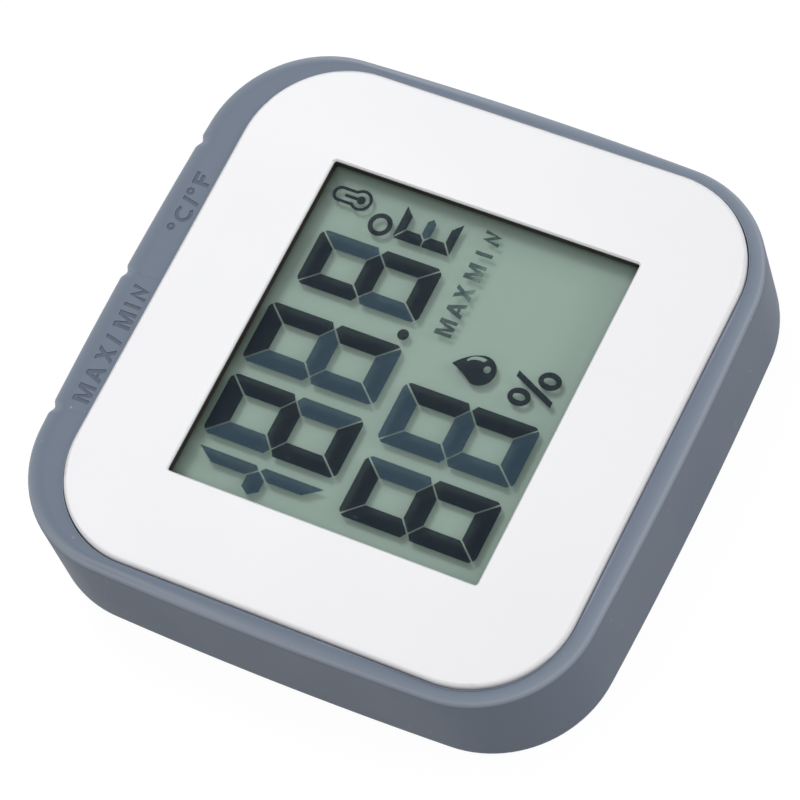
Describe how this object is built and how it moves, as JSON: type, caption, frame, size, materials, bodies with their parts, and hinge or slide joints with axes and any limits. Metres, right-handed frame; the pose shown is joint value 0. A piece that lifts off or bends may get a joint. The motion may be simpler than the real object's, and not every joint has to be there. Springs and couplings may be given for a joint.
{
  "type": "temperature humidity sensor",
  "caption": "Square display unit with rounded corners, a white face in a soft grey sleeve, key pads on its top edge, a coin-cell door and a fold-out stand behind.",
  "frame": {"origin": "centre of the rear face, on which the unit lies, midway between its sides and between its top and bottom edges", "axes": "+Z out of the display, +Y towards the top edge that carries the keys, +X to the reader's right"},
  "size_m": [0.0604, 0.0606, 0.0135],
  "materials": {
    "grey_silicone": "satin, moulded, with fine dust and faint scuffs",
    "white_abs": "white, moulded, soft gloss",
    "rear_abs": "white, fine spark-eroded texture",
    "black_foam": "closed-cell foam, dull black",
    "display_film": "thin anti-glare polarising film",
    "display_glass": "polished sheet glass",
    "display_ink": "driven liquid crystal, blue-black",
    "display_reflector": "grey-green diffusing reflector",
    "white_inner_plastic": "white, moulded",
    "zebra_rubber": "layered silicone and carbon",
    "green_board": "green solder mask",
    "plated_steel": "zinc plated",
    "black_epoxy": "black, smooth",
    "ceramic_chip": "buff ceramic",
    "sensor_plastic": "white, porous",
    "switch_plastic": "black, moulded",
    "plunger_plastic": "red-brown, moulded",
    "magnet_plating": "nickel plated",
    "cell_steel": "stainless, lightly brushed",
    "spring_steel": "nickel-plated spring strip"
  },
  "bodies": {
    "housing": {"sleeve": "grey_silicone", "front_panel": "white_abs", "lcd_gasket": "black_foam", "lcd_polariser": "display_film", "lcd_front_glass": "display_glass", "lcd_segments": "display_ink", "lcd_rear_glass": "display_glass", "lcd_reflector": "display_reflector", "lcd_frame": "white_inner_plastic", "zebra_strip": "zebra_rubber", "circuit_board": "green_board", "board_screws": "plated_steel", "chip_blob": "black_epoxy", "watch_crystal": "plated_steel", "capacitors": "ceramic_chip", "resistors": "black_epoxy", "humidity_sensor": "sensor_plastic", "thermistor": "black_epoxy", "max_min_switch": "switch_plastic", "unit_switch": "switch_plastic", "rear_case": "rear_abs", "case_screws": "plated_steel", "magnets": "magnet_plating", "coin_cell": "cell_steel", "negative_contact": "spring_steel", "positive_contact": "spring_steel"},
    "max_min_key": {"max_min_key": "grey_silicone"},
    "unit_key": {"unit_key": "grey_silicone"},
    "max_min_plunger": {"max_min_plunger": "plunger_plastic"},
    "unit_plunger": {"unit_plunger": "plunger_plastic"},
    "battery_door": {"battery_door": "rear_abs"},
    "stand": {"stand": "rear_abs"}
  },
  "joints": [
    {"name": "max_min_press", "type": "hinge", "parent": "housing", "child": "max_min_key", "pos_m": [-0.0079, 0.02584, 0.01305], "axis": [-1, 0, 0], "range_deg": [0, 3], "stiffness_Nm_per_rad": 0.15},
    {"name": "unit_press", "type": "hinge", "parent": "housing", "child": "unit_key", "pos_m": [0.0079, 0.02584, 0.01305], "axis": [-1, 0, 0], "range_deg": [0, 3], "stiffness_Nm_per_rad": 0.15},
    {"name": "max_min_plunge", "type": "slide", "parent": "housing", "child": "max_min_plunger", "axis": [0, -1, 0], "range_m": [0, 0.00034]},
    {"name": "unit_plunge", "type": "slide", "parent": "housing", "child": "unit_plunger", "axis": [0, -1, 0], "range_m": [0, 0.00034]},
    {"name": "door_turn", "type": "hinge", "parent": "housing", "child": "battery_door", "pos_m": [0, 0.0075, 0.001], "axis": [0, 0, -1], "range_deg": [0, 38]},
    {"name": "stand_fold", "type": "hinge", "parent": "housing", "child": "stand", "pos_m": [0, -0.0224, 0.0013], "axis": [-1, 0, 0], "range_deg": [0, 105]}
  ],
  "couplings": [
    {"joint": "max_min_plunge", "follows": "max_min_press", "m_per_rad": 0.0062},
    {"joint": "unit_plunge", "follows": "unit_press", "m_per_rad": 0.0062}
  ]
}
